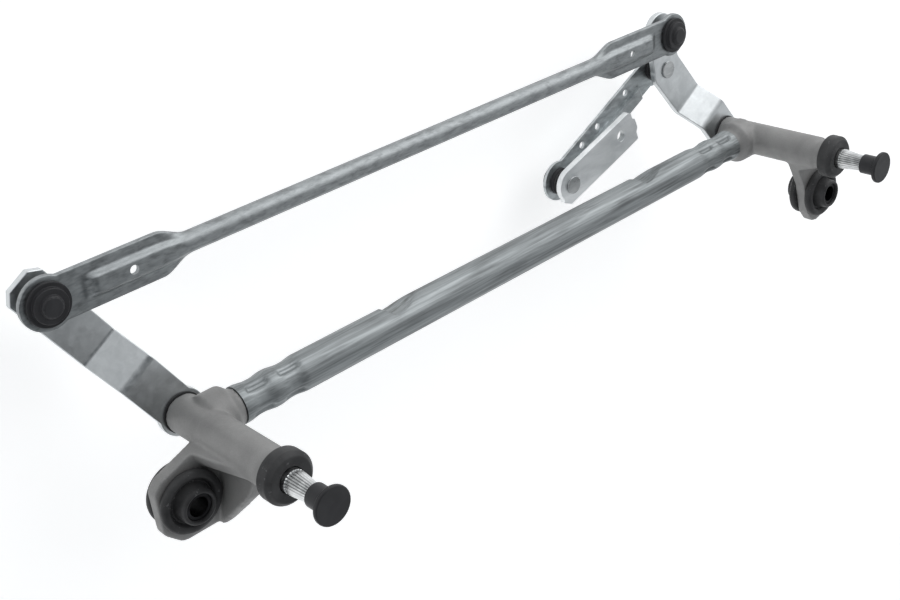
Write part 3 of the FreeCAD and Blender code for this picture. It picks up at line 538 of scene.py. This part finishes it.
# Connecting rod: one tube, flattened towards its two ball eyes
ROD_JOINT = JOINT_PLACE["rod_pivot"]
ROD_START = Vector((ROD_JOINT[0] - SPACING, ROD_JOINT[1], ROD_JOINT[2]))
EYE_RADIUS = 13.2 * MM
EYE_TIP_HALF = 0.4 * MM
PADDLE_HALF = 11.3 * MM
PADDLE_HALF_THICK = 1.5 * MM
PADDLE_LEAST_FLAT = 0.02 * MM
PADDLE_Z = -1.0 * MM
PADDLE_EDGE_POWER = 0.45
ROD_RADIUS = 5.3 * MM
ROD_Z = -1.7 * MM

# The raised rib on a paddle's face and the channel behind it, by the distance from the eye
RIB_HALF = 6.6 * MM
RIB_CROWN_HALF = 0.55 * RIB_HALF
RIB_HEIGHT = 2.9 * MM
RIB_RISE = (17.0 * MM, 24.0 * MM)
CHANNEL_DEPTH = 3.4 * MM
CHANNEL_RISE = (20.0 * MM, 27.0 * MM)
CHANNEL_END = (50.0 * MM, 60.0 * MM)
ROUNDING = (57.0 * MM, 75.0 * MM)

# The rod's holes: for the ball sockets, and a small one in each paddle
EYE_HOLE = 8.42 * MM
PADDLE_HOLE = 2.3 * MM
PADDLE_HOLE_PLACE = 42.0 * MM

# A ring's points: along the front and back, and round each edge, with the angles they go to when round
SIDE_POINTS = 26
CAP_POINTS = 6
RING_POINTS = 2 * (SIDE_POINTS + CAP_POINTS)
SIDE_ARC = 150.0
CAP_ARC = 30.0
FRONT_START = 15.0
LOWER_EDGE_START = 165.0
BACK_START = 195.0
UPPER_EDGE_START = 345.0

# Where the rod's rings stand
EYE_STEPS = 12
PADDLE_REACH = 80.0 * MM
PADDLE_STEP = 1.0 * MM
EYE_TIP_INSET = 0.02 * MM
MIDDLE_STEP = 12.0 * MM


def squared(value):
    """A cosine or sine pushed outwards, so that a round edge turns into a squarer one."""
    return math.copysign(abs(value) ** PADDLE_EDGE_POWER, value)


def edge_point(flat_half, thick, bend):
    """A point on the squared edge of a paddle, whose middle is at flat_half across."""
    return flat_half + thick * squared(math.cos(bend)), thick * squared(math.sin(bend))


def ring_point(index, flat_half, thick):
    """A ring's point on the flattened rod, and its angle in degrees on the round one."""
    if index < SIDE_POINTS:
        share = index / (SIDE_POINTS - 1)
        return (flat_half * (1.0 - 2.0 * share), thick), FRONT_START + SIDE_ARC * share
    index -= SIDE_POINTS
    if index < CAP_POINTS:
        share = (index + 1) / (CAP_POINTS + 1)
        bend = math.pi * share + math.pi / 2
        return edge_point(-flat_half, thick, bend), LOWER_EDGE_START + CAP_ARC * share
    index -= CAP_POINTS
    if index < SIDE_POINTS:
        share = index / (SIDE_POINTS - 1)
        return (flat_half * (2.0 * share - 1.0), -thick), BACK_START + SIDE_ARC * share
    index -= SIDE_POINTS
    share = (index + 1) / (CAP_POINTS + 1)
    bend = math.pi * share - math.pi / 2
    return edge_point(flat_half, thick, bend), UPPER_EDGE_START + CAP_ARC * share


def rod_section(station, turn):
    """A point of the rod: flat near the eyes with a raised rib, round along the middle."""
    from_eye = station if station < SPACING / 2 else SPACING - station
    in_eye = EYE_RADIUS ** 2 - from_eye ** 2
    if from_eye < 0.0:
        half = math.sqrt(max(in_eye, EYE_TIP_HALF ** 2))
    else:
        half = max(math.sqrt(max(in_eye, 0.0)), PADDLE_HALF)
    thick = min(PADDLE_HALF_THICK, half)
    flat_half = max(half - thick, PADDLE_LEAST_FLAT)
    index = int(round(turn * RING_POINTS)) % RING_POINTS
    (across, upward), degrees = ring_point(index, flat_half, thick)
    angle = math.radians(degrees)
    rib = RIB_HEIGHT * step(from_eye, *RIB_RISE)
    channel = CHANNEL_DEPTH * step(from_eye, *CHANNEL_RISE) * (1.0 - step(from_eye, *CHANNEL_END))
    pressed = 1.0 - step(abs(across), RIB_CROWN_HALF, RIB_HALF)
    upward += (rib if upward > 0.0 else channel) * pressed
    roundness = step(from_eye, *ROUNDING)
    flatness = 1.0 - roundness
    return ROD_START + Vector((station,
                               across * flatness + ROD_RADIUS * math.cos(angle) * roundness,
                               (upward + PADDLE_Z) * flatness
                               + (ROD_RADIUS * math.sin(angle) + ROD_Z) * roundness))


def rod_stations():
    """Close stations round the eyes and along the paddles, and wide ones along the middle."""
    half = []
    for index in range(EYE_STEPS + 1):
        half.append(-EYE_RADIUS * math.cos(math.pi / 2 * index / EYE_STEPS) + EYE_TIP_INSET)
    place = PADDLE_STEP
    while place < PADDLE_REACH:
        half.append(place)
        place += PADDLE_STEP
    while place < SPACING / 2:
        half.append(place)
        place += MIDDLE_STEP
    return half + [SPACING - station for station in reversed(half)]


rod = lofted("connecting_rod_finish", rod_stations(), RING_POINTS, rod_section)
drilled(rod, [(ROD_START.x, ROD_START.y, EYE_HOLE), (ROD_START.x + SPACING, ROD_START.y, EYE_HOLE),
              (ROD_START.x + PADDLE_HOLE_PLACE, ROD_START.y, PADDLE_HOLE),
              (ROD_START.x + SPACING - PADDLE_HOLE_PLACE, ROD_START.y, PADDLE_HOLE)])
smooth(rod, angle=40.0)
stands_for(rod, "connecting_rod")


# Spindle shafts: (height, radius, knurled) in millimetres, from the rear rim to the threaded end
SHAFT_PROFILE = [(-7.6, 0.3, 0), (-7.6, 6.0, 0), (-6.85, 7.4, 0), (-4.86, 7.5, 0), (-4.85, 5.5, 0),
                 (-0.86, 5.5, 0), (-0.85, 6.0, 0), (81.0, 6.0, 0), (81.02, 5.3, 0), (82.23, 5.3, 0),
                 (82.25, 6.0, 0), (88.8, 6.0, 0), (89.0, 6.1, 0), (89.3, 6.15, 1), (89.6, 6.15, 1),
                 (102.6, 4.75, 1), (102.8, 4.5, 1), (103.0, 4.0, 0), (113.7, 4.0, 0), (114.0, 3.6, 0),
                 (114.0, 0.3, 0)]
KNURL_TEETH = 24
KNURL_DEPTH = 0.8
TOOTH_CUT = (0.0, 0.75, 1.0, 0.75)
# Painted shade in the knurl's flute bottoms: how dark each point of a tooth is painted, 1 at the deepest cut
TOOTH_PAINTED_SHADE = (0.0, 0.25, 1.0, 0.25)
TOOTH_POINTS = len(TOOTH_CUT)
SHAFT_POINTS = TOOTH_POINTS * KNURL_TEETH

# Grommets: half of the outline as (radius, height) in millimetres, from the sleeve to the waist
GROMMET_PROFILE = [(7.02, 13.2), (7.3, 13.8), (7.9, 14.0), (8.6, 13.7), (9.1, 12.9), (9.3, 11.5), (9.5, 9.0),
                   (9.7, 7.2), (10.2, 6.3), (11.0, 6.2), (11.6, 7.0), (12.2, 8.0), (13.0, 8.45), (14.0, 8.5),
                   (15.2, 8.2), (16.1, 7.4), (16.45, 6.2), (16.4, 4.8), (15.8, 3.8), (15.2, 3.6), (9.95, 3.6)]
GROMMET_POINTS = 72


def round_point(centre, radius, turn, height):
    """A point at a radius, a share of a turn and a height round a centre, in millimetres from it."""
    angle = FULL_TURN * turn
    return centre + Vector((radius * math.cos(angle), radius * math.sin(angle), height)) * MM


def spindle_shaft(side, spindle):
    """A shaft, with the knurled taper between the seal and the thread."""
    centre = Vector((spindle[0], spindle[1], PIPE_REAR))

    def section(station, turn):
        height, radius, knurled = SHAFT_PROFILE[station]
        cut = TOOTH_CUT[int(round(turn * SHAFT_POINTS)) % TOOTH_POINTS] * KNURL_DEPTH * knurled
        return round_point(centre, radius - cut, turn, height)

    shaft = lofted(side + "_spindle_shaft_finish", range(len(SHAFT_PROFILE)), SHAFT_POINTS, section)
    smooth(shaft, angle=32.0)
    # Painted shade: each knurled point stores how dark its flute bottom is painted
    flute_painted_shades = shaft.data.attributes.new("flute_painted_shade", "FLOAT", "POINT")
    for index, entry in enumerate(flute_painted_shades.data):
        station, point = divmod(index, SHAFT_POINTS)
        entry.value = SHAFT_PROFILE[station][2] * TOOTH_PAINTED_SHADE[point % TOOTH_POINTS]
    stands_for(shaft, side + "_spindle_shaft")


def mount_grommet(side):
    """A grommet: a collar and a flange at each end, and the waist that the lug holds."""
    low, high = (Vector(corner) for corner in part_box(side + "_mount_grommet"))
    centre = (low + high) / 2.0
    outline = GROMMET_PROFILE + [(radius, -height) for radius, height in reversed(GROMMET_PROFILE)]

    def section(station, turn):
        radius, height = outline[station]
        return round_point(centre, radius, turn, height)

    grommet = lofted(side + "_mount_grommet_finish", range(len(outline)), GROMMET_POINTS, section,
                     ends="joined")
    smooth(grommet, angle=50.0)
    stands_for(grommet, side + "_mount_grommet")


for side, spindle in SIDES.items():
    spindle_shaft(side, spindle)
    mount_grommet(side)
    cast(side + "_bearing_housing", voxel=0.75 * MM, rounds=9)
    eased(side + "_crank_lever", width=0.6 * MM, bend=2.0 * MM)
    eased(side + "_mount_sleeve", width=0.4 * MM)
    eased(side + "_spindle_seal", width=0.8 * MM, segments=4)
    eased(side + "_transit_cap", width=0.3 * MM)
    eased(side + "_rod_socket", width=0.5 * MM)
    eased(side + "_rod_ball_stud", width=0.3 * MM)
eased("drive_link", width=0.5 * MM)
eased("motor_crank", width=0.6 * MM)
eased("upper_link_socket", width=0.5 * MM)
eased("lower_link_socket", width=0.5 * MM)
eased("drive_ball_stud", width=0.3 * MM)
eased("motor_crank_ball_stud", width=0.3 * MM)


# Floor: pale, and white to rays that see it plainly
FLOOR_HALF = 8.0
FLOOR_PLACE = (0.2, 0.0, -0.075)
FLOOR_COLOUR = (0.86, 0.86, 0.86, 1.0)
FLOOR_ROUGHNESS = 0.9
FLOOR_GLOW = 0.50


def clear_rays(tree):
    """One for rays that see the backdrop plainly: from the camera, off metal or through glass."""
    rays = tree.nodes.new("ShaderNodeLightPath")
    total = rays.outputs["Is Camera Ray"]
    for kind in ("Is Glossy Ray", "Is Transmission Ray"):
        joined = tree.nodes.new("ShaderNodeMath")
        joined.operation = "MAXIMUM"
        tree.links.new(total, joined.inputs[0])
        tree.links.new(rays.outputs[kind], joined.inputs[1])
        total = joined.outputs[0]
    return total


def floor_paint():
    """The floor's material: plain paint, with a glow added for the clear rays."""
    paint = bpy.data.materials.new("pale_floor")
    paint.use_nodes = True
    tree = paint.node_tree
    shader = tree.nodes["Principled BSDF"]
    shader.inputs["Base Color"].default_value = FLOOR_COLOUR
    shader.inputs["Roughness"].default_value = FLOOR_ROUGHNESS
    glow = node_at(tree, "ShaderNodeEmission", Strength=FLOOR_GLOW)
    both = tree.nodes.new("ShaderNodeAddShader")
    seen = tree.nodes.new("ShaderNodeMixShader")
    output = next(node for node in tree.nodes if node.type == "OUTPUT_MATERIAL")
    tree.links.new(shader.outputs[0], both.inputs[0])
    tree.links.new(glow.outputs[0], both.inputs[1])
    tree.links.new(clear_rays(tree), seen.inputs[0])
    tree.links.new(shader.outputs[0], seen.inputs[1])
    tree.links.new(both.outputs[0], seen.inputs[2])
    tree.links.new(seen.outputs[0], output.inputs["Surface"])
    return paint


ground = bmesh.new()
bmesh.ops.create_grid(ground, x_segments=1, y_segments=1, size=FLOOR_HALF)
bmesh.ops.translate(ground, verts=ground.verts, vec=FLOOR_PLACE)
floor = from_bmesh("floor", ground)
floor.data.materials.append(floor_paint())

# The studio round the part: pale, with a dim patch overhead
STUDIO_STRENGTH = 0.85
OVERHEAD = (-0.15, -0.10, 0.98)
STUDIO_STOPS = (0.0, 0.70, 0.87, 1.0)
STUDIO_COLOURS = ((0.86, 0.88, 0.90), (0.90, 0.92, 0.94), (0.16, 0.17, 0.18), (0.12, 0.13, 0.14))

world = bpy.data.worlds.new("studio")
bpy.context.scene.world = world
world.use_nodes = True
sky = world.node_tree
backdrop = sky.nodes["Background"]
backdrop.inputs["Strength"].default_value = STUDIO_STRENGTH
look = sky.nodes.new("ShaderNodeTexCoord")
toward = sky.nodes.new("ShaderNodeVectorMath")
toward.operation = "DOT_PRODUCT"
toward.inputs[1].default_value = OVERHEAD
sky.links.new(look.outputs["Generated"], toward.inputs[0])
sky.links.new(ramp(sky, toward.outputs["Value"], STUDIO_STOPS, STUDIO_COLOURS), backdrop.inputs["Color"])

# Lamps: weak and soft, over the light of the studio
PART_MIDDLE = Vector((0.24, 0.03, 0.0))


def soft_lamp(name, place, size, power):
    """A square soft lamp at a place, aimed at the middle of the part."""
    data = bpy.data.lights.new(name, "AREA")
    data.shape = "SQUARE"
    data.size = size
    data.energy = power
    lamp = linked(name, data)
    lamp.location = place
    lamp.rotation_euler = (PART_MIDDLE - Vector(place)).to_track_quat("-Z", "Y").to_euler()


soft_lamp("key_lamp", place=(0.78, 1.10, 1.20), size=1.4, power=2.2)
soft_lamp("low_lamp", place=(1.15, 1.15, 0.50), size=1.4, power=8.0)

# Camera: its place and its three directions, solved from the parallel edges in the photo
CAMERA_PLACE = Vector((-217.66, 349.31, 464.72)) * MM
CAMERA_RIGHT = Vector((0.72410, -0.10098, 0.68226))
CAMERA_DOWN = Vector((-0.38715, -0.87818, 0.28092))
CAMERA_AHEAD = Vector((0.57078, -0.46755, -0.67498))

camera_data = bpy.data.cameras.new("camera")
camera_data.lens = 51.41
camera_data.sensor_width = 36.0
camera = linked("camera", camera_data)
turned = Matrix((CAMERA_RIGHT, -CAMERA_DOWN, -CAMERA_AHEAD)).transposed().to_4x4()
camera.matrix_world = Matrix.Translation(CAMERA_PLACE) @ turned
bpy.context.scene.camera = camera
bpy.context.scene.view_settings.view_transform = "Standard"
